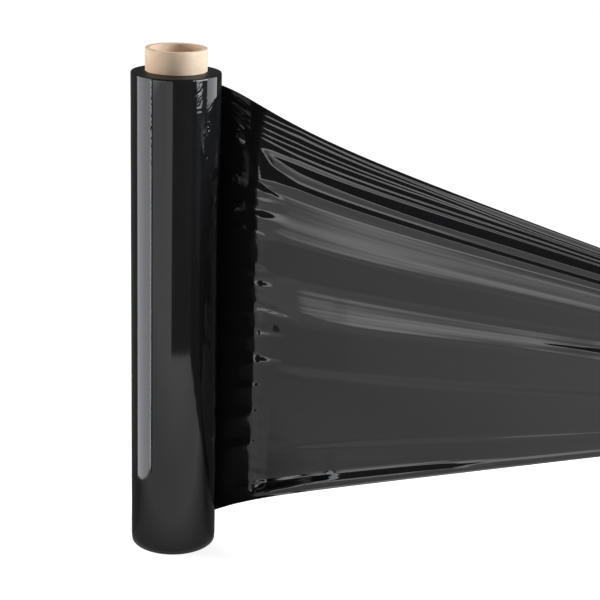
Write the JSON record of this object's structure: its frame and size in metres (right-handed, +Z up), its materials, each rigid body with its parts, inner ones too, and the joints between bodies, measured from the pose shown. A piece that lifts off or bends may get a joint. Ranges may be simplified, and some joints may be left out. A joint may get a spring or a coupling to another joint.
{
  "type": "stretch wrap roll",
  "caption": "Black stretch film wound on a cardboard core, standing on its end, with a length of film pulled off to one side and gathered at its top edge.",
  "frame": {"origin": "on the roll's axis, in the plane of its lower end", "axes": "+Z up along the core's axis; +X towards the side where the film leaves the roll; the front is -Y"},
  "size_m": [0.4748, 0.2187, 0.5234],
  "materials": {
    "core_board": "matte",
    "black_film": "gloss"
  },
  "bodies": {
    "root": {"core_tube": "core_board", "stretch_film": "black_film"}
  },
  "joints": []
}
